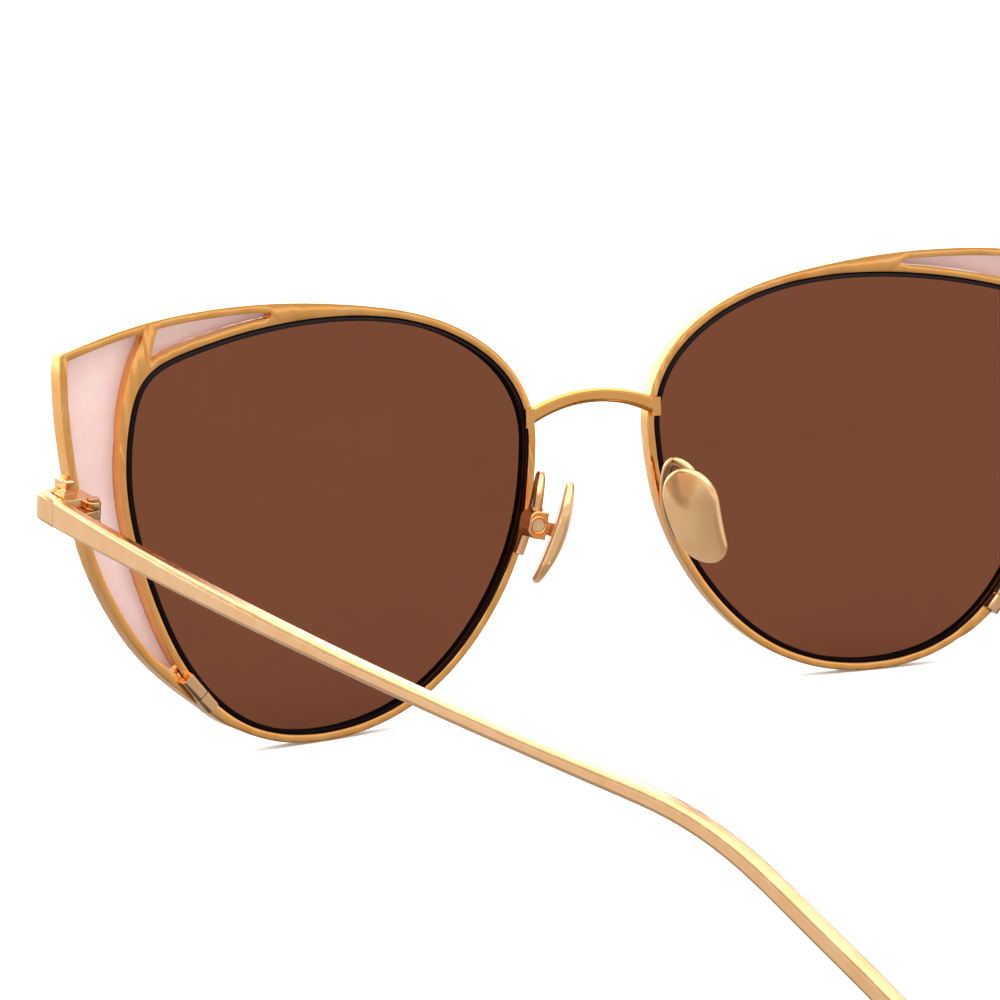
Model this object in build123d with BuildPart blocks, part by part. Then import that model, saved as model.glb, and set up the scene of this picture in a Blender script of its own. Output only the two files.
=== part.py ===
from build123d import *

import os
from math import asin, cos, degrees, radians, sin, sqrt

# Cat eye sunglasses in polished gold-coloured metal, modelled open, in millimetres.
#
# Everything is first made in the frame of the front: X to the wearer's left, Y back towards
# the wearer's ears, Z up in the plane of the front, and the origin midway between the eyes.
# The last section stands the finished glasses on a table, on the rims and the temple tips.
# The left half is modelled, and the right half is its mirror image.

os.makedirs("parts", exist_ok=True)

# Driving dimensions of the front
FRONT_RADIUS = 342.0        # bow of the front seen from above, on its back face
FRONT_DEPTH = 2.3           # front face to back face
EYE_X = 36.7                # bridge centre to the middle of a lens
RIM_WIDTH = 0.95            # radial width of the eyewire
BORDER_WIDTH = 1.0          # metal border outside the inlay windows
WINDOW_TIP_U = 7.3          # the upper window ends here, towards the nose
WINDOW_ROUND = 0.3          # radius of the windows' corners
FIT = 0.03                  # gap round glued and sprung-in pieces
BRAZE = 0.02                # gap left for a brazed seam

# Lens and its groove
LENS_THICKNESS = 2.0
LENS_PROUD = 0.3            # how far the lens stands behind the rim
TONGUE_DEPTH = 0.40         # lens edge that sits in the rim's groove
TONGUE_THICKNESS = 0.6
GROOVE_MIDDLE = 0.95        # groove's middle, from the back face
LENS_BEVEL = 0.5

INLAY_THICKNESS = 0.7

# Bridge: the bar's upper and lower edges at its crown and at its roots
CROWN_TOP, CROWN_FOOT = 13.4, 11.6
ROOT_TOP, ROOT_FOOT = 11.5, 9.3
ROOT_X = 8.8
BRIDGE_BACK = 0.85          # how far it stands behind the middle of the front
BRIDGE_DEPTH = 1.6
BRIDGE_ROUND = 0.5
TAB_INNER_X, TAB_OUTER_X = 8.3, 9.45
TAB_TOP, TAB_FOOT = 11.55, 9.2

# Rim lock: a split barrel on the back of the rim, closed by a screw
LOCK_U, LOCK_V = 20.1, -17.95
LOCK_ANGLE = 51.0           # the rim's direction there, from the horizontal
LOCK_WIDTH = 1.8
LOCK_MIDDLE = 0.15          # middle of the barrel, towards the lens
LOCK_HEIGHT = 1.35          # how far it stands behind the rim
LOCK_TOP = 2.6              # upper end of the barrel, along the rim
LOCK_FOOT = -2.6
LOCK_SLIT = 0.12
SPLIT_AT = -0.45            # the split, along the rim
SLOT_WIDTH = 0.2            # slot that frees the border from the lower rim
SLOT_REACH = [(24.2, -13.4), (26.4, -16.4), (21.4, -21.1), (17.5, -17.9)]
LOCK_SCREW = 0.7
LOCK_HEAD = 1.0
LOCK_HEAD_HEIGHT = 0.4
LOCK_SCREW_BACK = 0.68      # screw's middle, behind the rim
LOCK_ROUND = 0.45

# Nose pads: the screw points straight back, and the pad is set at an angle to it
BOX_ANGLE = 2.0             # the screw's direction, from straight back, outwards
PAD_ANGLE = 27.1            # the pad's direction, seen from above
BOX_CENTRE = (11.86, 6.7, -1.8)
BOX_LEAN = 12.0             # the box's top leans towards the nose
BOX_INNER, BOX_OUTER = 1.25, 1.25
BOX_ROUND = 1.1             # corners on the side away from the nose
BOX_CORNER = 0.5            # corners on the nose side
BOX_HEIGHT, BOX_DEPTH = 3.4, 2.8
BOX_EDGE = 0.18
CAVITY_REACH = 0.95         # the cavity's depth past the screw
CAVITY_HEIGHT, CAVITY_DEPTH = 2.6, 1.3
TONGUE_RADIUS = 0.8
TONGUE_NECK = 1.6
TONGUE_WIDTH = 1.14
PAD_LEAN = 21.5
PAD_HEIGHT, PAD_THICKNESS = 13.35, 1.95
PAD_TOP_RADIUS, PAD_FOOT_RADIUS = 3.95, 3.45
PAD_BEND = 16.5             # radius of the domed nose side
PAD_BACK_BEND = 48.0        # and on the side of the box
PAD_OUT = 4.3               # nose side of the pad, from the screw
PAD_BACK = 0.7              # pad's middle behind the screw's middle
PAD_DROP = 0.0
PAD_EDGE = 0.5
ARM_RADIUS = 0.62
ARM_ROUTE = [
    (11.2, 0.9, -6.3), (10.35, 0.9, -4.4), (9.6, 1.15, -2.2), (9.05, 2.0, 0.9),
    (9.35, 4.0, 3.7), (10.55, 6.1, 2.6), (11.35, 6.7, 0.0), (11.45, 6.72, -0.4),
]
COLLAR_RADIUS = 0.85        # collar where the wire meets the box
COLLAR_HEIGHT = 0.4
PAD_SCREW, PAD_SCREW_HEAD = 0.8, 1.5
PAD_HEAD_HEIGHT = 0.4
RUN_FIT = 0.02              # radial gap of a screw in its hole
SLOT = 0.2                  # width and depth of a screwdriver slot

# Temple and hinge
SEAM = (75.5, 11.5, 6.25)   # middle of the seam between end piece and temple
TOE_IN = 6.6                # temple's inward heading at the hinge
TOE_IN_EAR = 16.0           # and at the ear
PITCH = -9.7                # temple runs down towards the ear
EAR_START = 103.0
EAR_BEND_LENGTH = 24.0
EAR_DROP = 23.0             # extra downward turn over the ear
EAR_TOE = 2.6               # extra inward turn over the ear
TEMPLE_LENGTH = 145.0
HINGE_X, HINGE_Y = -3.86, 1.3   # hinge pin, from the seam, inwards and back
KNUCKLE_RADIUS = 0.95
KNUCKLE_HALF = 1.45         # half the height of the knuckle stack
MIDDLE_HALF = 0.5           # half the height of the temple's knuckle
KNUCKLE_GAP = 0.06
BLOCK_CLEAR = 0.12
HINGE_PIN = 0.8
HINGE_HEAD = 1.5
HINGE_HEAD_HEIGHT = 0.4
LUG_HALF = 1.8
LUG_OUTER, LUG_INNER = 0.63, -0.67
LUG_FRONT, LUG_BACK = -5.66, -3.4
LUG_REACH = -4.9            # the lug runs in to the side of the wing
LUG_CORNER, LUG_INNER_CORNER = 2.3, 1.1
LUG_EDGE = 0.55
BLOCK_REACH = -4.81         # inner side of the front hinge leaf
SHOULDER_INNER, SHOULDER_OUTER = -3.3, -2.15    # raised shoulder on the leaf, behind the border
SHOULDER_FRONT, SHOULDER_BACK = -5.0, -2.2
SHOULDER_TOP = 3.0
SHOULDER_EDGE = 0.3
LEAF_START, LEAF_END = 0.35, 3.2
TEMPLE_SIZES = [            # distance from the seam, thickness, height
    (0, 1.26, 3.35), (30, 1.85, 2.5), (60, 2.2, 1.9), (90, 2.1, 1.75), (125, 1.9, 2.1),
    (145, 1.9, 2.25),
]
TEMPLE_STATION = 6.0        # about this far between the temple's sections
TIP_ROUND = 0.45
SEAM_GAP = 0.05

# Outlines in the plane of the left eye: U outwards, V up, from the middle of the lens
OPENING = [
    (-27.9, 7.0), (-25.4, 15.7), (-18.0, 21.6), (-6.0, 24.9), (8.0, 24.75), (19.0, 22.8),
    (25.25, 20.0), (27.7, 14.4), (28.3, 7.5), (25.6, -5.2), (21.2, -14.8), (13.4, -22.6),
    (1.5, -25.3), (-11.0, -22.1), (-20.9, -13.3), (-25.6, -4.9),
]
WING_START = -14.2           # the wing leaves the rim here, along it
WING_CORNER = (36.45, 24.0)  # the top and the side both run on a little past it
WING_TOP = [
    (WING_START, 24.15), (-4.0, 26.35), (6.0, 27.35), (17.0, 27.35), (28.2, 26.0), WING_CORNER,
    (38.4, 23.46),
]
WING_SIDE = [
    (36.1, 26.0), WING_CORNER, (36.75, 18.0), (36.0, 9.5), (34.1, 0.0), (30.4, -8.0),
    (25.2, -14.8), (17.6, -21.2), (9.5, -25.0),
]
WING_CORNER_RADIUS = 0.6
STRUT_OUTER = [                 # the strut's outer edge runs on smoothly from the rim
    (28.9, 12.0), (28.7, 15.7), (27.95, 18.8), (26.5, 22.6), (24.9, 25.4), (24.0, 27.0),
]
STRUT_INNER = [(22.65, 27.0), (24.63, 21.5), (25.4, 18.5)]
WINDOW_FOOT = [(18.0, -19.0), (27.5, -11.4), (27.5, -30.0), (18.0, -30.0)]


def back_face(x):
    """Depth of the front's back face at a distance x from the middle."""
    return FRONT_RADIUS - sqrt(FRONT_RADIUS**2 - x * x)


wrap = asin(EYE_X / FRONT_RADIUS)
eye = Plane(
    origin=(EYE_X, back_face(EYE_X), 0),
    x_dir=(cos(wrap), sin(wrap), 0),
    z_dir=(sin(wrap), -cos(wrap), 0),
)
CUT = 4.0                   # how far a cutter reaches either side of the eye plane


def slab(behind, ahead):
    """The bowed layer from behind the back face to ahead of it, over the whole front."""
    outer = FRONT_RADIUS + ahead
    inner = FRONT_RADIUS - behind
    reach = radians(15)
    with BuildPart() as layer:
        with BuildSketch(Plane.XY.offset(-32)):
            with BuildLine():
                ends = []
                for radius in (outer, inner):
                    left = (radius * sin(reach), FRONT_RADIUS - radius * cos(reach))
                    right = (-left[0], left[1])
                    ThreePointArc(left, (0, FRONT_RADIUS - radius), right)
                    ends.append((left, right))
                Line(ends[0][0], ends[1][0])
                Line(ends[0][1], ends[1][1])
            make_face()
        extrude(amount=64)
    return layer.part


def grown(curve, amount, count):
    """Points along a clockwise curve, moved outwards from it."""
    places = [step / count for step in range(count + 1)]
    return [curve @ t + (curve % t).rotate(Axis.Z, 90) * amount for t in places]


opening_curve = Edge.make_spline([Vector(*point) for point in OPENING], periodic=True)
top_curve = Edge.make_spline(
    [Vector(*point) for point in WING_TOP],
    tangents=[Vector(1, 0.33), Vector(1, -0.27)],
)
side_curve = Edge.make_spline(
    [Vector(*point) for point in WING_SIDE],
    tangents=[Vector(0.18, -1), Vector(-1, -0.35)],
)


def opening_sketch(grow=0.0):
    """The lens opening, grown outwards."""
    with BuildSketch() as shape:
        with BuildLine():
            Spline(*grown(opening_curve, grow, 64)[:-1], periodic=True)
        make_face()
    return shape.sketch


def wing_sketch(grow=0.0):
    """The cat eye wing with the rim, without its opening, grown outwards."""
    with BuildSketch() as shape:
        with BuildLine():
            top = Spline(*grown(top_curve, grow, 24), tangents=[top_curve % 0, top_curve % 1])
            Polyline(top @ 1, (45, -40), (WING_START, -40), top @ 0)
        make_face()
        with BuildLine():
            side = Spline(*grown(side_curve, grow, 32), tangents=[side_curve % 0, side_curve % 1])
            Polyline(side @ 1, (WING_START, 0), (WING_START, 40), side @ 0)
        make_face(mode=Mode.INTERSECT)
        add(opening_sketch(RIM_WIDTH + grow))
        if WING_CORNER_RADIUS + grow > 0.1:
            corner = shape.vertices().sort_by_distance(Vector(*WING_CORNER))[0]
            fillet(corner, WING_CORNER_RADIUS + grow)
    return shape.sketch


def plate(outline, layer):
    """A flat outline of the eye plane, cut through and kept where the bowed layer is."""
    with BuildPart() as made:
        with BuildSketch(eye.offset(-CUT)):
            add(outline)
        extrude(amount=2 * CUT)
        add(layer, mode=Mode.INTERSECT)
    return made.part


def window_sketch(shrink=0.0):
    """Both inlay windows: the wing inside its border and outside the rim, less the strut."""
    with BuildSketch() as shape:
        add(wing_sketch(-BORDER_WIDTH - shrink))
        add(opening_sketch(RIM_WIDTH + shrink), mode=Mode.SUBTRACT)
        with BuildLine():
            outer = Spline(*STRUT_OUTER)
            Polyline(outer @ 1, *STRUT_INNER, outer @ 0)
        make_face(mode=Mode.SUBTRACT)
        with BuildLine():
            Polyline(*[(u, v + 2 * shrink) for u, v in WINDOW_FOOT], close=True)
        make_face(mode=Mode.SUBTRACT)
        with Locations((WINDOW_TIP_U + shrink, 0)):
            Rectangle(60, 80, align=(Align.MIN, Align.CENTER), mode=Mode.INTERSECT)
        corners = [corner for corner in shape.vertices() if corner.X > 10 and not 0 < corner.Y < 19]
        fillet(corners, WINDOW_ROUND + shrink)
    return shape.sketch


# The rim lock's own plane: x along the rim towards the temple, y towards the lens
lock = Plane(eye * Location((LOCK_U, LOCK_V, -(LOCK_U**2) / (2 * FRONT_RADIUS)), (0, 0, LOCK_ANGLE)))


# Eyewire: the rim, its wing and border, with the lens groove and the split at the rim lock
def make_eyewire():
    groove = slab(-GROOVE_MIDDLE + TONGUE_THICKNESS / 2 + FIT, GROOVE_MIDDLE + TONGUE_THICKNESS / 2 + FIT)
    with BuildPart() as eyewire:
        with BuildSketch(eye.offset(-CUT)):
            add(wing_sketch())
            add(opening_sketch(), mode=Mode.SUBTRACT)
            add(window_sketch(), mode=Mode.SUBTRACT)
        extrude(amount=2 * CUT)
        add(slab(0, FRONT_DEPTH), mode=Mode.INTERSECT)
        add(plate(opening_sketch(TONGUE_DEPTH + FIT), groove), mode=Mode.SUBTRACT)
        # the split across the rim, and the slot that frees the border from the lower rim
        with BuildSketch(lock.offset(-CUT)):
            with Locations((SPLIT_AT, RIM_WIDTH / 2 + 0.1)):
                Rectangle(LOCK_SLIT, RIM_WIDTH + 0.3)
        extrude(amount=2 * CUT, mode=Mode.SUBTRACT)
        with BuildSketch(eye.offset(-CUT)):
            add(opening_sketch(RIM_WIDTH + SLOT_WIDTH))
            add(opening_sketch(RIM_WIDTH), mode=Mode.SUBTRACT)
            with BuildLine():
                Polyline(*SLOT_REACH, close=True)
            make_face(mode=Mode.INTERSECT)
        extrude(amount=2 * CUT, mode=Mode.SUBTRACT)
    return eyewire.part


def make_envelope():
    """The front and its lens as one blank, a seam larger, to trim what is brazed on."""
    with BuildPart() as blank:
        with BuildSketch(eye.offset(-CUT)):
            add(wing_sketch(BRAZE))
        extrude(amount=2 * CUT)
        add(slab(BRAZE, FRONT_DEPTH + BRAZE), mode=Mode.INTERSECT)
        add(plate(opening_sketch(), slab(LENS_PROUD + BRAZE, 0)))
    return blank.part


# Lens: a bowed slab with a bevelled back edge, and the tongue that sits in the groove
def make_lens():
    with BuildPart() as lens:
        add(plate(opening_sketch(-FIT), slab(LENS_PROUD, LENS_THICKNESS - LENS_PROUD)))
        rear = lens.faces().sort_by(Axis.Y)[-1]
        chamfer(rear.edges(), LENS_BEVEL)
        tongue_layer = slab(TONGUE_THICKNESS / 2 - GROOVE_MIDDLE, TONGUE_THICKNESS / 2 + GROOVE_MIDDLE)
        add(plate(opening_sketch(TONGUE_DEPTH), tongue_layer))
    return lens.part


# Inlays: thin coloured plates glued in the windows, flush with the front face
def make_inlays():
    layer = slab(INLAY_THICKNESS - FRONT_DEPTH, FRONT_DEPTH)
    upper, outer = window_sketch(FIT).faces().sort_by(Axis.X)
    return plate(outer, layer), plate(upper, layer)


# Bridge: a low arch whose flattened ends lap over the backs of the rims
def make_bridge(envelopes):
    with BuildPart() as bridge:
        with BuildSketch(Plane.XZ.offset(-BRIDGE_BACK)):
            with BuildLine():
                ThreePointArc((-ROOT_X, ROOT_TOP), (0, CROWN_TOP), (ROOT_X, ROOT_TOP))
                ThreePointArc((-ROOT_X, ROOT_FOOT), (0, CROWN_FOOT), (ROOT_X, ROOT_FOOT))
                Line((-ROOT_X, ROOT_TOP), (-ROOT_X, ROOT_FOOT))
                Line((ROOT_X, ROOT_TOP), (ROOT_X, ROOT_FOOT))
            make_face()
        extrude(amount=BRIDGE_DEPTH)
        fillet(bridge.edges().filter_by(GeomType.CIRCLE), BRIDGE_ROUND)
        with BuildSketch(Plane.XZ.offset(-BRIDGE_BACK)):
            middle = (TAB_INNER_X + TAB_OUTER_X) / 2
            with Locations((-middle, (TAB_TOP + TAB_FOOT) / 2), (middle, (TAB_TOP + TAB_FOOT) / 2)):
                Rectangle(TAB_OUTER_X - TAB_INNER_X, TAB_TOP - TAB_FOOT)
        extrude(amount=BRIDGE_BACK)
        for envelope in envelopes:
            add(envelope, mode=Mode.SUBTRACT)
    return bridge.part


# Rim lock: two barrel halves on the back of the rim, drawn together by a screw
lock_axis = Plane(origin=lock.origin, x_dir=lock.y_dir, z_dir=lock.x_dir)
lock_screw_axis = Plane(lock_axis * Location((LOCK_MIDDLE, -LOCK_SCREW_BACK, 0)))


def make_lock_half(start, end, envelope):
    """One half of the barrel, between two places along the rim."""
    with BuildPart() as half:
        with BuildSketch(lock_axis.offset(start)):
            with Locations((LOCK_MIDDLE, -LOCK_HEIGHT)):
                block = Rectangle(LOCK_WIDTH, LOCK_HEIGHT + 0.6, align=(Align.CENTER, Align.MIN))
            fillet(block.vertices().sort_by(Axis.Y)[:2], LOCK_ROUND)
        extrude(amount=end - start)
        add(envelope, mode=Mode.SUBTRACT)
        with BuildSketch(lock_screw_axis.offset(start)):
            Circle(LOCK_SCREW / 2 + RUN_FIT)
        extrude(amount=end - start, mode=Mode.SUBTRACT)
        with BuildSketch(lock_screw_axis.offset(LOCK_TOP - LOCK_HEAD_HEIGHT - RUN_FIT)):
            Circle(LOCK_HEAD / 2 + RUN_FIT)
        extrude(amount=LOCK_HEAD_HEIGHT + 1, mode=Mode.SUBTRACT)
    return half.part


def make_screw(axis, start, seat, top, shaft, head):
    """A slotted screw from the start of its shaft to its seat and the top of its head."""
    with BuildPart() as screw:
        with BuildSketch(axis.offset(start)):
            Circle(shaft / 2)
        extrude(amount=seat - start)
        with BuildSketch(axis.offset(seat)):
            Circle(head / 2)
        extrude(amount=top - seat)
        with BuildSketch(axis.offset(top - SLOT)):
            Rectangle(head + 1, SLOT)
        extrude(amount=SLOT, mode=Mode.SUBTRACT)
    return screw.part


# Nose pads: frames on the screw, x towards the nose, y up, z back along the screw
def pad_frame(direction, lean):
    angle = radians(direction)
    upright = Plane(
        origin=BOX_CENTRE,
        x_dir=(-cos(angle), sin(angle), 0),
        z_dir=(sin(angle), cos(angle), 0),
    )
    return Plane(upright * Location((0, 0, 0), (0, 0, -lean)))


box_frame = pad_frame(BOX_ANGLE, BOX_LEAN)
tongue_frame = pad_frame(BOX_ANGLE, PAD_LEAN)
pad_plane = pad_frame(PAD_ANGLE, PAD_LEAN)


def make_pad_box():
    """The small box that holds the pad, open towards the nose."""
    with BuildPart() as box:
        with BuildSketch(box_frame.offset(-BOX_DEPTH / 2)):
            with Locations((-BOX_OUTER, 0)):
                body = Rectangle(BOX_OUTER + BOX_INNER, BOX_HEIGHT, align=(Align.MIN, Align.CENTER))
            fillet(body.vertices().sort_by(Axis.X)[:2], BOX_ROUND)
            fillet(body.vertices().sort_by(Axis.X)[-2:], BOX_CORNER)
        extrude(amount=BOX_DEPTH)
        rims = box.faces().filter_by(GeomType.PLANE).sort_by(Axis.Y)
        fillet(rims[-1].edges(), BOX_EDGE)
        with BuildSketch(box_frame.offset(-CAVITY_DEPTH / 2)):
            with Locations((-CAVITY_REACH, 0)):
                room = Rectangle(CAVITY_REACH + 3, CAVITY_HEIGHT, align=(Align.MIN, Align.CENTER))
            fillet(room.vertices().sort_by(Axis.X)[:2], CAVITY_REACH - 0.1)
        extrude(amount=CAVITY_DEPTH, mode=Mode.SUBTRACT)
        with BuildSketch(box_frame.offset(-BOX_DEPTH / 2)):
            Circle(PAD_SCREW / 2 + RUN_FIT)
        extrude(amount=BOX_DEPTH, mode=Mode.SUBTRACT)
        with BuildSketch(box_frame.offset(BOX_DEPTH / 2 - PAD_HEAD_HEIGHT - RUN_FIT)):
            Circle(PAD_SCREW_HEAD / 2 + RUN_FIT)
        extrude(amount=PAD_HEAD_HEIGHT + 1, mode=Mode.SUBTRACT)
    return box.part


def make_pad_screw():
    """The pad's screw: a round head with a cross recess, let into the box."""
    top = BOX_DEPTH / 2
    with BuildPart() as screw:
        with BuildSketch(box_frame.offset(-top)):
            Circle(PAD_SCREW / 2)
        extrude(amount=BOX_DEPTH - PAD_HEAD_HEIGHT)
        with BuildSketch(box_frame.offset(top - PAD_HEAD_HEIGHT)):
            Circle(PAD_SCREW_HEAD / 2)
        extrude(amount=PAD_HEAD_HEIGHT)
        with BuildSketch(box_frame.offset(top - SLOT)):
            Rectangle(PAD_SCREW_HEAD * 0.7, SLOT)
            Rectangle(SLOT, PAD_SCREW_HEAD * 0.7)
        extrude(amount=SLOT, mode=Mode.SUBTRACT)
    return screw.part


def make_nose_pad():
    """The metal pad, bowed towards the nose, with the tongue that rocks on the screw."""
    outline_plane = Plane(
        origin=pad_plane.origin,
        x_dir=-pad_plane.z_dir,
        z_dir=pad_plane.x_dir,
    )
    reach = PAD_HEIGHT / 2
    with BuildPart() as pad:
        with BuildSketch(outline_plane):
            with Locations((-PAD_BACK, reach - PAD_TOP_RADIUS - PAD_DROP)):
                Circle(PAD_TOP_RADIUS)
            with Locations((-PAD_BACK, PAD_FOOT_RADIUS - reach - PAD_DROP)):
                Circle(PAD_FOOT_RADIUS)
            make_hull()
        extrude(amount=PAD_OUT + 1)
        dome = pad_plane * Location((PAD_OUT - PAD_BEND, -PAD_DROP, PAD_BACK))
        add(Solid.make_sphere(PAD_BEND).moved(dome), mode=Mode.INTERSECT)
        with BuildSketch(pad_plane.offset(-10)):
            with Locations((PAD_OUT - PAD_THICKNESS - PAD_BACK_BEND, -PAD_DROP)):
                Circle(PAD_BACK_BEND)
        extrude(amount=20, mode=Mode.SUBTRACT)
        fillet(pad.edges(), PAD_EDGE)
        with BuildSketch(tongue_frame.offset(-TONGUE_WIDTH / 2)):
            Circle(TONGUE_RADIUS)
            with Locations((0, 0)):
                Rectangle(
                    PAD_OUT - PAD_THICKNESS / 2,
                    TONGUE_NECK,
                    align=(Align.MIN, Align.CENTER),
                )
            Circle(PAD_SCREW / 2 + RUN_FIT, mode=Mode.SUBTRACT)
        extrude(amount=TONGUE_WIDTH)
    return pad.part


def make_pad_arm(envelope, box):
    """The round wire from the back of the rim, over an arch, to the top of the box."""
    with BuildPart() as arm:
        with BuildLine() as route:
            Spline(*ARM_ROUTE)
        with BuildSketch(Plane(origin=route.line @ 0, z_dir=route.line % 0)):
            Circle(ARM_RADIUS)
        sweep()
        box_top = Plane(box_frame * Location((0, BOX_HEIGHT / 2, 0)))
        with BuildSketch(Plane(origin=box_top.origin, z_dir=box_frame.y_dir)):
            Circle(COLLAR_RADIUS)
        extrude(amount=COLLAR_HEIGHT)
        add(envelope, mode=Mode.SUBTRACT)
        add(box, mode=Mode.SUBTRACT)
    return arm.part


# Temple and hinge: x outwards, y back along the temple, z up along the hinge pin
def heading(s):
    """Direction of the temple at a distance s from the seam, and outwards across it."""
    turn = min(max((s - EAR_START) / EAR_BEND_LENGTH, 0), 1)
    bend = turn * turn * (3 - 2 * turn)
    inward = radians(TOE_IN + (TOE_IN_EAR - TOE_IN) * min(s / EAR_START, 1) + EAR_TOE * bend)
    drop = radians(PITCH - EAR_DROP * bend)
    along = Vector(-sin(inward) * cos(drop), cos(inward) * cos(drop), sin(drop))
    return along, Vector(cos(inward), sin(inward), 0)


def temple_plane(s):
    """The plane across the temple at a distance s from the seam."""
    steps = 4 * int(s) + 4
    place = Vector(SEAM)
    for step in range(steps):
        place += heading((step + 0.5) * s / steps)[0] * (s / steps)
    along, outwards = heading(s)
    return Plane(origin=place, x_dir=outwards, z_dir=along)


along_hinge, outwards_hinge = heading(0)
hinge = Plane(origin=SEAM, x_dir=outwards_hinge, z_dir=outwards_hinge.cross(along_hinge))
pin = Plane(hinge * Location((HINGE_X, HINGE_Y, 0)))


def temple_size(s):
    """Thickness and height of the temple at a distance s from the seam."""
    for (start, thick, tall), (end, next_thick, next_tall) in zip(TEMPLE_SIZES, TEMPLE_SIZES[1:]):
        if s <= end:
            share = (s - start) / (end - start)
            return thick + (next_thick - thick) * share, tall + (next_tall - tall) * share
    return TEMPLE_SIZES[-1][1:]


def make_temple():
    stations = round(TEMPLE_LENGTH / TEMPLE_STATION)
    with BuildPart() as temple:
        for station in range(stations + 1):
            place = SEAM_GAP + (TEMPLE_LENGTH - SEAM_GAP) * station / stations
            thickness, height = temple_size(place)
            with BuildSketch(temple_plane(place)):
                RectangleRounded(thickness, height, 0.28 * thickness)
        loft()
        fillet(temple.faces().sort_by(Axis.Y)[-1].edges(), TIP_ROUND)
    return temple.part


def make_end_piece():
    """The lug that turns the corner from the side of the wing to the temple."""
    with BuildPart() as lug:
        with BuildSketch(hinge.offset(-LUG_HALF)) as plan:
            with BuildLine():
                Polyline(
                    (LUG_OUTER, 0),
                    (LUG_OUTER, LUG_FRONT),
                    (LUG_REACH, LUG_FRONT),
                    (LUG_REACH, LUG_BACK),
                    (LUG_INNER, LUG_BACK),
                    (LUG_INNER, 0),
                    close=True,
                )
            make_face()
            corners = plan.vertices()
            outer = corners.filter_by_position(Axis.X, 0, 1).sort_by(Axis.Y)[0]
            inner = corners.filter_by_position(Axis.X, -1, 0).sort_by(Axis.Y)[0]
            fillet(outer, LUG_CORNER)
            fillet(inner, LUG_INNER_CORNER)
        extrude(amount=2 * LUG_HALF)
        rims = lug.faces().sort_by(Axis.Z)
        long_edges = (rims[0].edges() + rims[-1].edges()).sort_by(Axis.Y)
        fillet(long_edges[2:], LUG_EDGE)
        with BuildSketch(eye.offset(-3 * CUT)):
            add(wing_sketch(BRAZE))
        extrude(amount=6 * CUT, mode=Mode.SUBTRACT)
    return lug.part


def make_hinge_front(envelope):
    """The front leaf: a block in the lug's corner with two knuckle plates."""
    foot = LUG_BACK + BRAZE
    with BuildPart() as leaf:
        with BuildSketch(hinge.offset(-KNUCKLE_HALF)):
            with BuildLine():
                Polyline(
                    (BLOCK_REACH, foot),
                    (LUG_INNER - BRAZE - LUG_INNER_CORNER, foot),
                    (LUG_INNER - BRAZE, foot + LUG_INNER_CORNER),
                    (LUG_INNER - BRAZE, LEAF_START - BLOCK_CLEAR),
                    (HINGE_X + KNUCKLE_RADIUS, LEAF_START - BLOCK_CLEAR),
                    (HINGE_X + KNUCKLE_RADIUS, HINGE_Y),
                    (HINGE_X - KNUCKLE_RADIUS, HINGE_Y),
                    close=True,
                )
            make_face()
            with Locations((HINGE_X, HINGE_Y)):
                Circle(KNUCKLE_RADIUS)
                Circle(HINGE_PIN / 2 + RUN_FIT, mode=Mode.SUBTRACT)
        extrude(amount=2 * KNUCKLE_HALF)
        with BuildSketch(hinge.offset(-MIDDLE_HALF - KNUCKLE_GAP)):
            with Locations((HINGE_X, LEAF_START - BLOCK_CLEAR)):
                Rectangle(8, 5, align=(Align.CENTER, Align.MIN))
        extrude(amount=2 * (MIDDLE_HALF + KNUCKLE_GAP), mode=Mode.SUBTRACT)
        with BuildSketch(hinge.offset(KNUCKLE_HALF)):
            with BuildLine():
                Polyline(
                    (SHOULDER_INNER, foot),
                    (LUG_INNER - BRAZE - LUG_INNER_CORNER, foot),
                    (LUG_INNER - BRAZE, foot + LUG_INNER_CORNER),
                    (LUG_INNER - BRAZE, LEAF_START - BLOCK_CLEAR),
                    (SHOULDER_OUTER, SHOULDER_BACK),
                    (SHOULDER_INNER, SHOULDER_BACK),
                    close=True,
                )
            make_face()
        extrude(amount=LUG_HALF + BRAZE - KNUCKLE_HALF)
        with BuildSketch(hinge.offset(LUG_HALF + BRAZE)):
            with Locations((SHOULDER_INNER, SHOULDER_FRONT)):
                Rectangle(
                    SHOULDER_OUTER - SHOULDER_INNER,
                    SHOULDER_BACK - SHOULDER_FRONT,
                    align=(Align.MIN, Align.MIN),
                )
        extrude(amount=SHOULDER_TOP - LUG_HALF - BRAZE)
        fillet(leaf.faces().sort_by(Axis.Z)[-1].edges(), SHOULDER_EDGE)
        add(envelope, mode=Mode.SUBTRACT)
    return leaf.part


def make_hinge_temple(temple):
    """The temple's leaf: one knuckle between the two plates, on a foot inside the temple."""
    with BuildPart() as leaf:
        with BuildSketch(hinge.offset(-MIDDLE_HALF)):
            with Locations((HINGE_X, HINGE_Y)):
                Circle(KNUCKLE_RADIUS)
            with Locations((LUG_INNER, (LEAF_START + LEAF_END) / 2)):
                Rectangle(0.6, LEAF_END - LEAF_START)
            make_hull()
            with Locations((HINGE_X, HINGE_Y)):
                Circle(HINGE_PIN / 2 + RUN_FIT, mode=Mode.SUBTRACT)
        extrude(amount=2 * MIDDLE_HALF)
        add(temple, mode=Mode.SUBTRACT)
    return leaf.part


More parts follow.
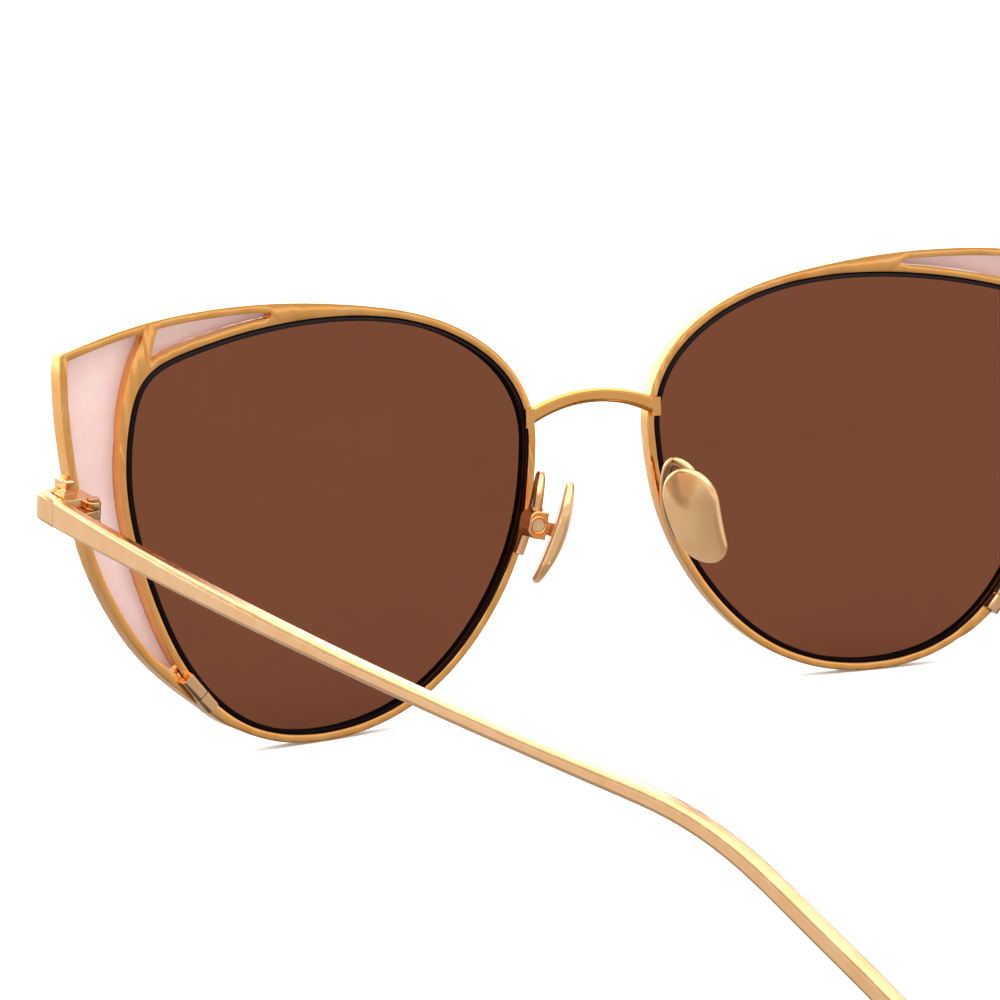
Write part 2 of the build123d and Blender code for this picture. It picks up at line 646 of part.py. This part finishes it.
# The left half, and its mirror image
def make_side():
    """Every piece of the wearer's left side."""
    envelope = make_envelope()
    box = make_pad_box()
    temple = make_temple()
    upper_start = SPLIT_AT + LOCK_SLIT / 2
    lower_end = SPLIT_AT - LOCK_SLIT / 2
    outer_inlay, upper_inlay = make_inlays()
    return {
        "eyewire": make_eyewire(),
        "lens": make_lens(),
        "inlay_outer": outer_inlay,
        "inlay_upper": upper_inlay,
        "rim_lock_upper": make_lock_half(upper_start, LOCK_TOP, envelope),
        "rim_lock_lower": make_lock_half(LOCK_FOOT, lower_end, envelope),
        "rim_lock_screw": make_screw(
            lock_screw_axis,
            LOCK_FOOT,
            LOCK_TOP - LOCK_HEAD_HEIGHT,
            LOCK_TOP,
            LOCK_SCREW,
            LOCK_HEAD,
        ),
        "pad_arm": make_pad_arm(envelope, box),
        "pad_box": box,
        "pad_screw": make_pad_screw(),
        "nose_pad": make_nose_pad(),
        "end_piece": make_end_piece(),
        "hinge_front": make_hinge_front(envelope),
        "hinge_screw": make_screw(
            pin,
            -KNUCKLE_HALF,
            KNUCKLE_HALF,
            KNUCKLE_HALF + HINGE_HEAD_HEIGHT,
            HINGE_PIN,
            HINGE_HEAD,
        ),
        "temple": temple,
        "hinge_temple": make_hinge_temple(temple),
    }


pieces = {}
left_envelope = make_envelope()
pieces["bridge"] = make_bridge((left_envelope, mirror(left_envelope, about=Plane.YZ)))
for name, solid in make_side().items():
    pieces[name + "_left"] = solid
    pieces[name + "_right"] = mirror(solid, about=Plane.YZ)

# The open glasses stand on the lower rims and the temple tips, and are turned about X
# until both are level with the table
tilt = 0.0
for _ in range(4):
    turned = Location((0, 0, 0), (tilt, 0, 0))
    rim_low = pieces["eyewire_left"].moved(turned).bounding_box().min.Z
    tip_low = pieces["temple_left"].moved(turned).bounding_box().min.Z
    tilt += degrees((rim_low - tip_low) / TEMPLE_LENGTH)
turned = Location((0, 0, 0), (tilt, 0, 0))
boxes = [solid.moved(turned).bounding_box() for solid in pieces.values()]
near_y = min(box.min.Y for box in boxes)
far_y = max(box.max.Y for box in boxes)
low_z = min(box.min.Z for box in boxes)
rest = Location((0, -(near_y + far_y) / 2, -low_z)) * turned

for name, solid in pieces.items():
    placed = solid.moved(rest)
    placed.label = name
    export_step(placed, f"parts/{name}.step")

# Joint places and directions at rest, for the left side, and the frame's own placement
print("tilt", tilt, "shift", rest.position)
for name, axis in {"hinge": pin, "pad": box_frame}.items():
    at = Plane(rest * axis.location)
    print(name, "at", at.origin, "along", at.z_dir)
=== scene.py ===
"""Cat eye sunglasses in polished pale gold metal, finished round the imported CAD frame."""

import math

import bmesh
import bpy
from mathutils import Matrix, Vector


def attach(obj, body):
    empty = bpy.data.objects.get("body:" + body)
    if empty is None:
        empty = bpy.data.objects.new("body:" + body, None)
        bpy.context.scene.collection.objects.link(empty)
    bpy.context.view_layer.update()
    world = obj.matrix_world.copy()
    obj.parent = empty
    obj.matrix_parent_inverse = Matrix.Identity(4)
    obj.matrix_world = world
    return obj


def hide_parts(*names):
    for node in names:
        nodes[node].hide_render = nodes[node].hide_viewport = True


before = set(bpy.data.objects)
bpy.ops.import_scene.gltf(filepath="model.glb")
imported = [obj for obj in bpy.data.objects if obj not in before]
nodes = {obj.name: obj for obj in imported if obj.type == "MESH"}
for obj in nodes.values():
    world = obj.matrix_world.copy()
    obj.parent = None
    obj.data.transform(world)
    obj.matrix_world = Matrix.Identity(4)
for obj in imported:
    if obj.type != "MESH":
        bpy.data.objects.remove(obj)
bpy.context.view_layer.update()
SIDES = ("left", "right")
MM = 0.001


# ---------------------------------------------------------------- camera, floor and light
AIM = Vector((10.499, -77.724, 25.817)) * MM
CAMERA_AZIMUTH = math.radians(26.432)    # from straight behind, towards the wearer's left
CAMERA_ELEVATION = math.radians(9.596)
CAMERA_ROLL = math.radians(-1.335)
CAMERA_DISTANCE = 0.5613
CAMERA_LENS = 162.0

FLOOR_HALF = 12.0
SUN_DIRECTION, SUN_STRENGTH, SUN_ANGLE = (0.1, -0.15, -1.0), 0.8, math.radians(60)

# Radiance of the studio by height of the direction, from straight down to straight up
ZONES_AHEAD = [
    (-1.0, 0.25), (-0.5, 0.5), (-0.16, 0.95), (0.0, 1.03), (0.1, 1.03), (0.24, 0.75), (0.5, 0.75),
    (0.72, 2.0), (1.0, 2.0),
]
ZONES_BEHIND = [
    (-1.0, 0.1), (-0.5, 0.16), (-0.2, 0.57), (-0.06, 0.66), (0.0, 1.03), (0.04, 1.03),
    (0.13, 0.64), (0.45, 0.7), (0.72, 2.0), (1.0, 2.0),
]
ZONES_PANEL = [(-1.0, 0.0), (-0.12, 0.0), (0.06, 2.0), (0.5, 2.0), (0.64, 0.0), (1.0, 0.0)]
BEHIND_FROM, AHEAD_FROM = 0.35, -0.35    # the two halves blend between these shares of Y
PANEL_EDGE, PANEL_FULL = -0.66, -0.76    # the panel fades in between these shares of Y


def make_camera():
    """A long lens behind the glasses and a little above them, aimed between the lenses."""
    data = bpy.data.cameras.new("camera")
    data.lens = CAMERA_LENS
    data.clip_start = 0.01
    data.clip_end = 20.0
    camera = bpy.data.objects.new("camera", data)
    bpy.context.scene.collection.objects.link(camera)
    bpy.context.scene.camera = camera
    back = Vector((
        math.sin(CAMERA_AZIMUTH) * math.cos(CAMERA_ELEVATION),
        math.cos(CAMERA_AZIMUTH) * math.cos(CAMERA_ELEVATION),
        math.sin(CAMERA_ELEVATION),
    ))
    right = (-back).cross(Vector((0, 0, 1))).normalized()
    up = right.cross(-back)
    cos_roll, sin_roll = math.cos(CAMERA_ROLL), math.sin(CAMERA_ROLL)
    across = right * cos_roll + up * sin_roll
    upright = up * cos_roll - right * sin_roll
    turn = Matrix((across, upright, back)).transposed().to_4x4()
    camera.matrix_world = Matrix.Translation(AIM + back * CAMERA_DISTANCE) @ turn


def make_floor(paint):
    """A plain pale floor, larger than any view of it."""
    mesh = bpy.data.meshes.new("floor")
    corners = [
        (-FLOOR_HALF, -FLOOR_HALF, 0), (FLOOR_HALF, -FLOOR_HALF, 0),
        (FLOOR_HALF, FLOOR_HALF, 0), (-FLOOR_HALF, FLOOR_HALF, 0),
    ]
    mesh.from_pydata(corners, [], [(0, 1, 2, 3)])
    floor = bpy.data.objects.new("floor", mesh)
    floor.data.materials.append(paint)
    bpy.context.scene.collection.objects.link(floor)
    floor.visible_glossy = False


def make_sun():
    """A weak, very soft light from above, which gives the floor its faint shadows."""
    data = bpy.data.lights.new("top_light", "SUN")
    data.energy = SUN_STRENGTH
    data.angle = SUN_ANGLE
    light = bpy.data.objects.new("top_light", data)
    light.visible_glossy = False
    light.rotation_mode = "QUATERNION"
    light.rotation_quaternion = Vector(SUN_DIRECTION).to_track_quat("-Z", "Y")
    bpy.context.scene.collection.objects.link(light)


def smooth_step(tree, value, start, end):
    """0 up to start, 1 from end on, and smooth between."""
    node = tree.nodes.new("ShaderNodeMapRange")
    node.interpolation_type = "SMOOTHSTEP"
    node.inputs["From Min"].default_value = start
    node.inputs["From Max"].default_value = end
    tree.links.new(value, node.inputs["Value"])
    return node.outputs["Result"]


def ramp(tree, value, stops):
    """A smooth curve through (value, height) stops, for a value from -1 to 1."""
    place = tree.nodes.new("ShaderNodeMath")
    place.operation = "MULTIPLY_ADD"
    place.inputs[1].default_value = 0.5
    place.inputs[2].default_value = 0.5
    tree.links.new(value, place.inputs[0])
    curve = tree.nodes.new("ShaderNodeValToRGB")
    curve.color_ramp.interpolation = "EASE"
    top = max(height for _, height in stops)
    elements = curve.color_ramp.elements
    for at, _ in stops[1:-1]:
        elements.new((at + 1) / 2)
    elements[0].position = 0.0
    elements[-1].position = 1.0
    for element, (_, height) in zip(elements, stops):
        element.color = (height / top, height / top, height / top, 1)
    tree.links.new(place.outputs[0], curve.inputs["Fac"])
    full = tree.nodes.new("ShaderNodeMath")
    full.operation = "MULTIPLY"
    full.inputs[1].default_value = top
    tree.links.new(curve.outputs["Color"], full.inputs[0])
    return full.outputs[0]


def make_world():
    """A plain studio: bright ahead of the glasses and overhead, calm behind them."""
    world = bpy.data.worlds.new("studio")
    world.use_nodes = True
    tree = world.node_tree
    direction = tree.nodes.new("ShaderNodeTexCoord").outputs["Generated"]
    split = tree.nodes.new("ShaderNodeSeparateXYZ")
    tree.links.new(direction, split.inputs[0])
    behind = ramp(tree, split.outputs["Z"], ZONES_BEHIND)
    ahead = ramp(tree, split.outputs["Z"], ZONES_AHEAD)
    panel = ramp(tree, split.outputs["Z"], ZONES_PANEL)
    turn = smooth_step(tree, split.outputs["Y"], BEHIND_FROM, AHEAD_FROM)
    reach = smooth_step(tree, split.outputs["Y"], PANEL_EDGE, PANEL_FULL)
    blend = tree.nodes.new("ShaderNodeMix")
    blend.data_type = "FLOAT"
    tree.links.new(turn, blend.inputs["Factor"])
    tree.links.new(behind, blend.inputs["A"])
    tree.links.new(ahead, blend.inputs["B"])
    total = tree.nodes.new("ShaderNodeMath")
    total.operation = "MULTIPLY_ADD"
    tree.links.new(panel, total.inputs[0])
    tree.links.new(reach, total.inputs[1])
    tree.links.new(blend.outputs["Result"], total.inputs[2])
    background = tree.nodes["Background"]
    background.inputs["Color"].default_value = (1, 1, 1, 1)
    tree.links.new(total.outputs[0], background.inputs["Strength"])
    bpy.context.scene.world = world


# ---------------------------------------------------------------- materials
GOLD_PALE, GOLD_DEEP = (0.95, 0.49, 0.16), (0.93, 0.42, 0.11)
# painted light: the pad gold is a brighter copy of the gold, partly diffuse, so the pads look lit
# where they mostly face dark parts
PAD_PALE, PAD_DEEP = (0.97, 0.62, 0.31), (0.95, 0.55, 0.25)
# the temple gold has a brushed grain, and is also painted light: a paler, less saturated copy of
# the gold, to tone down the orange reflections between gold parts
TEMPLE_PALE, TEMPLE_DEEP = (0.88, 0.54, 0.29), (0.84, 0.48, 0.22)
INLAY_PALE, INLAY_DEEP = (0.66, 0.49, 0.46), (0.63, 0.45, 0.42)
LENS_TINT, LENS_TINT_DEEP = (0.101, 0.0345, 0.0168), (0.097, 0.033, 0.0161)
STEEL_PALE, STEEL_DEEP = (0.86, 0.83, 0.80), (0.78, 0.75, 0.72)
# painted shade: near black for the lens's edge, in place of the shade and dark reflection where
# the lens sits in the rim
EDGE_SHADE_BLACK = (0.006, 0.002, 0.002)
FLOOR_PALE = (0.92, 0.92, 0.92)

# Sizes of the noises: how many waves to the metre
PATCHES, BUFFING = 260, 2600
CLOUDS, RESIN_GLOSS = 420, 3000
DYE_DRIFT, GROUND_EDGE = 35, 5000
FLOOR_WEAR = 12
NOISE_LOW, NOISE_HIGH = 0.3, 0.7         # nearly all of a noise lies between these
GRAIN_DEPTH = 0.0006 * MM


def principled(name, colour, roughness, metallic=0.0, **sockets):
    """A new material and its shader, with constants on the shader's own sockets."""
    material = bpy.data.materials.new(name)
    material.use_nodes = True
    shader = material.node_tree.nodes["Principled BSDF"]
    shader.inputs["Base Color"].default_value = (*colour, 1)
    shader.inputs["Roughness"].default_value = roughness
    shader.inputs["Metallic"].default_value = metallic
    for socket, value in sockets.items():
        shader.inputs[socket.replace("_", " ")].default_value = value
    return material, shader


def noise(tree, scale, detail=3.0, stretch=(1, 1, 1)):
    """Noise in the object's own coordinates, in metres."""
    place = tree.nodes.new("ShaderNodeTexCoord").outputs["Object"]
    mapping = tree.nodes.new("ShaderNodeMapping")
    mapping.inputs["Scale"].default_value = stretch
    tree.links.new(place, mapping.inputs["Vector"])
    cloud = tree.nodes.new("ShaderNodeTexNoise")
    cloud.inputs["Scale"].default_value = scale
    cloud.inputs["Detail"].default_value = detail
    tree.links.new(mapping.outputs["Vector"], cloud.inputs["Vector"])
    return cloud.outputs["Fac"]


def spread(tree, value, low, high):
    """The middle of a noise, spread over low to high."""
    node = tree.nodes.new("ShaderNodeMapRange")
    node.inputs["From Min"].default_value = NOISE_LOW
    node.inputs["From Max"].default_value = NOISE_HIGH
    node.inputs["To Min"].default_value = low
    node.inputs["To Max"].default_value = high
    tree.links.new(value, node.inputs["Value"])
    return node.outputs["Result"]


def tint(tree, value, first, second):
    """A colour between two, by a value."""
    node = tree.nodes.new("ShaderNodeMix")
    node.data_type = "RGBA"
    node.inputs["A"].default_value = (*first, 1)
    node.inputs["B"].default_value = (*second, 1)
    tree.links.new(value, node.inputs["Factor"])
    return node.outputs["Result"]


def relief(tree, shader, value, depth):
    """Bump from a value, depth in metres."""
    bump = tree.nodes.new("ShaderNodeBump")
    bump.inputs["Distance"].default_value = depth
    bump.inputs["Strength"].default_value = 1.0
    tree.links.new(value, bump.inputs["Height"])
    tree.links.new(bump.outputs["Normal"], shader.inputs["Normal"])


def metal_paint(name, pale, deep, polish, stretch=(1, 1, 1), metallic=1.0):
    """Plated metal: uneven tone, uneven polish and a fine grain left by the buffing wheel."""
    material, shader = principled(name, pale, polish[0], metallic)
    tree = material.node_tree
    patches = spread(tree, noise(tree, PATCHES), 0.0, 1.0)
    tree.links.new(tint(tree, patches, pale, deep), shader.inputs["Base Color"])
    buffing = noise(tree, BUFFING, 4.0, stretch)
    tree.links.new(spread(tree, buffing, *polish), shader.inputs["Roughness"])
    relief(tree, shader, buffing, GRAIN_DEPTH)
    return material


def inlay_paint():
    """Pale pink resin: faintly clouded, with a soft gloss and a weak painted glow, an emission
    that lightens the shade in its recesses.
    """
    material, shader = principled(
        "inlay", INLAY_PALE, 0.22, Coat_Weight=0.4, Coat_Roughness=0.05,
        Subsurface_Weight=0.25, Subsurface_Scale=0.001,
        # painted light: a faint pink emission that lightens the inlay's shade in its recesses
        Emission_Color=(1.0, 0.7, 0.65, 1), Emission_Strength=0.1,
    )
    tree = material.node_tree
    clouds = spread(tree, noise(tree, CLOUDS, 5.0), 0.0, 1.0)
    tree.links.new(tint(tree, clouds, INLAY_PALE, INLAY_DEEP), shader.inputs["Base Color"])
    tree.links.new(spread(tree, noise(tree, RESIN_GLOSS), 0.16, 0.3), shader.inputs["Roughness"])
    return material


def lens_paint():
    """Brown tinted lens: the tint is a little uneven, as in a dyed lens."""
    material, shader = principled("lens", LENS_TINT, 0.0, Transmission_Weight=1.0, IOR=1.12)
    tree = material.node_tree
    drift = spread(tree, noise(tree, DYE_DRIFT, 1.0), 0.0, 1.0)
    tree.links.new(tint(tree, drift, LENS_TINT, LENS_TINT_DEEP), shader.inputs["Base Color"])
    return material


def lens_edge_shade_paint():
    """Painted shade: the lens's ground edge in near black, standing in for the shade and dark
    reflection that make it look black from behind.
    """
    material, shader = principled(
        "lens_edge_shade", EDGE_SHADE_BLACK, 0.4, Specular_IOR_Level=0.1,
    )
    tree = material.node_tree
    grinding = noise(tree, GROUND_EDGE, 4.0)
    tree.links.new(spread(tree, grinding, 0.2, 0.45), shader.inputs["Roughness"])
    return material


def floor_paint():
    """A pale sweep that glows faintly, so that it stays white all round the glasses."""
    material, shader = principled(
        "floor", FLOOR_PALE, 0.7, Emission_Color=(1, 1, 1, 1), Emission_Strength=0.12,
    )
    tree = material.node_tree
    tree.links.new(spread(tree, noise(tree, FLOOR_WEAR), 0.6, 0.8), shader.inputs["Roughness"])
    return material


# ---------------------------------------------------------------- pieces
FINE_MERGE = 0.001 * MM      # corners this close are one
SHARP_ANGLE = math.radians(35)
ROUNDING_STEPS = 3
FLAT_BACK = 0.9              # least share of Y in the normal of a lens's flat back
# the black edge is a ring of painted shade round the lens's back
SHADE_RING_WIDTH = 0.12 * MM        # width of the black edge, from behind

# The pad screw on the left, in millimetres, and the ring round its head
PAD_SCREW_AT = Vector((11.86, -65.8406, 24.6328))
PAD_SCREW_ALONG = Vector((0.034899, 0.999021, 0.027173))
BOX_BACK = 1.4
RING_RADIUS, RING_WIRE = 1.0, 0.13
RING_STEPS, RING_SIDES = 48, 12

ROUNDING = {                 # width of the polished edges, in millimetres
    "eyewire": 0.14, "rim_lock": 0.08, "end_piece": 0.1, "hinge_front": 0.08,
    "hinge_temple": 0.08, "hinge_screw": 0.05, "pad_screw": 0.03,
}


def round_edges(node, width):
    """Rounds a metal piece's sharp edges, as polishing does."""
    weld = node.modifiers.new("weld", "WELD")
    weld.merge_threshold = FINE_MERGE
    bevel = node.modifiers.new("round", "BEVEL")
    bevel.width = width
    bevel.segments = ROUNDING_STEPS
    bevel.limit_method = "ANGLE"
    bevel.angle_limit = SHARP_ANGLE
    bevel.harden_normals = True
    bevel.use_clamp_overlap = True


def make_lens(side, body_paint, edge_shade_paint):
    """The lens, with a black ring of painted shade round the back, in place of the dark of its
    ground edge.
    """
    source = nodes[f"lens_{side}"]
    shape = bmesh.new()
    shape.from_mesh(source.data)
    bmesh.ops.remove_doubles(shape, verts=shape.verts, dist=FINE_MERGE)
    shape.normal_update()
    back = [face for face in shape.faces if face.normal.y > FLAT_BACK]
    ring = bmesh.ops.inset_region(shape, faces=back, thickness=SHADE_RING_WIDTH, use_even_offset=True)
    # the lens's side and the inset ring below take the near-black painted shade; the flat front
    # and back take the tint
    flat = set(back) | {face for face in shape.faces if face.normal.y < -FLAT_BACK}
    for face in shape.faces:
        face.smooth = True
        face.material_index = 0 if face in flat else 1
    for face in ring["faces"]:
        face.material_index = 1
    mesh = bpy.data.meshes.new(f"lens_body_{side}")
    shape.to_mesh(mesh)
    shape.free()
    mesh.materials.append(body_paint)
    mesh.materials.append(edge_shade_paint)
    piece = bpy.data.objects.new(f"lens_body_{side}", mesh)
    bpy.context.scene.collection.objects.link(piece)
    piece.visible_shadow = False
    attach(piece, "front")
    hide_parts(source.name)


def make_screw_ring(side, paint):
    """The raised ring round the pad screw's head, on the back of the pad box."""
    mirrored = Vector((1 if side == "left" else -1, 1, 1))
    along = PAD_SCREW_ALONG * mirrored
    middle = (PAD_SCREW_AT + PAD_SCREW_ALONG * BOX_BACK) * mirrored
    across = along.cross(Vector((0, 0, 1))).normalized()
    upright = across.cross(along)
    points = []
    for step in range(RING_STEPS):
        turn = math.tau * step / RING_STEPS
        outward = across * math.cos(turn) + upright * math.sin(turn)
        for corner in range(RING_SIDES):
            tilt = math.tau * corner / RING_SIDES
            reach = RING_RADIUS + RING_WIRE * math.cos(tilt)
            points.append((middle + outward * reach + along * RING_WIRE * math.sin(tilt)) * MM)
    faces = []
    for step in range(RING_STEPS):
        here, ahead = step * RING_SIDES, (step + 1) % RING_STEPS * RING_SIDES
        for corner in range(RING_SIDES):
            beside = (corner + 1) % RING_SIDES
            faces.append((here + corner, here + beside, ahead + beside, ahead + corner))
    mesh = bpy.data.meshes.new(f"pad_screw_ring_{side}")
    mesh.from_pydata(points, [], faces)
    shape = bmesh.new()
    shape.from_mesh(mesh)
    bmesh.ops.recalc_face_normals(shape, faces=shape.faces)
    for face in shape.faces:
        face.smooth = True
    shape.to_mesh(mesh)
    shape.free()
    mesh.materials.append(paint)
    piece = bpy.data.objects.new(f"pad_screw_ring_{side}", mesh)
    bpy.context.scene.collection.objects.link(piece)
    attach(piece, "front")


# ---------------------------------------------------------------- scene
gold = metal_paint("gold", GOLD_PALE, GOLD_DEEP, (0.07, 0.16))
# brushed, and painted paler: this copy of the gold tones down the orange reflections between the
# temples, hinge, lock and pad parts
brushed_gold_painted_paler = metal_paint(
    "brushed_gold_painted_paler", TEMPLE_PALE, TEMPLE_DEEP, (0.10, 0.22), stretch=(1, 0.06, 1),
)
# painted light: a brighter, partly diffuse copy of the gold for the pads, which mostly face the
# dark lens
pad_gold_painted_brighter = metal_paint(
    "pad_gold_painted_brighter", PAD_PALE, PAD_DEEP, (0.12, 0.2), stretch=(0.3, 0.3, 0.3), metallic=0.75,
)
steel = metal_paint("screw_steel", STEEL_PALE, STEEL_DEEP, (0.12, 0.25))
inlay = inlay_paint()

PAINTS = {                   # by the start of the node's name; gold is for all others
    "inlay": inlay, "pad_screw": steel, "temple": brushed_gold_painted_paler, "end_piece": brushed_gold_painted_paler,
    "hinge": brushed_gold_painted_paler, "rim_lock": brushed_gold_painted_paler,
    "nose_pad": pad_gold_painted_brighter, "pad_box": brushed_gold_painted_paler, "pad_arm": brushed_gold_painted_paler,
}

for name, node in nodes.items():
    paint = next((paint for start, paint in PAINTS.items() if name.startswith(start)), gold)
    node.data.materials.clear()
    node.data.materials.append(paint)
    for start, width in ROUNDING.items():
        if name.startswith(start):
            round_edges(node, width * MM)

# the lens edge paint is near-black painted shade
lens_body, lens_edge_shade = lens_paint(), lens_edge_shade_paint()
for side in SIDES:
    make_lens(side, lens_body, lens_edge_shade)
    make_screw_ring(side, brushed_gold_painted_paler)

make_camera()
make_floor(floor_paint())
make_world()
make_sun()
bpy.context.scene.view_settings.view_transform = "Standard"
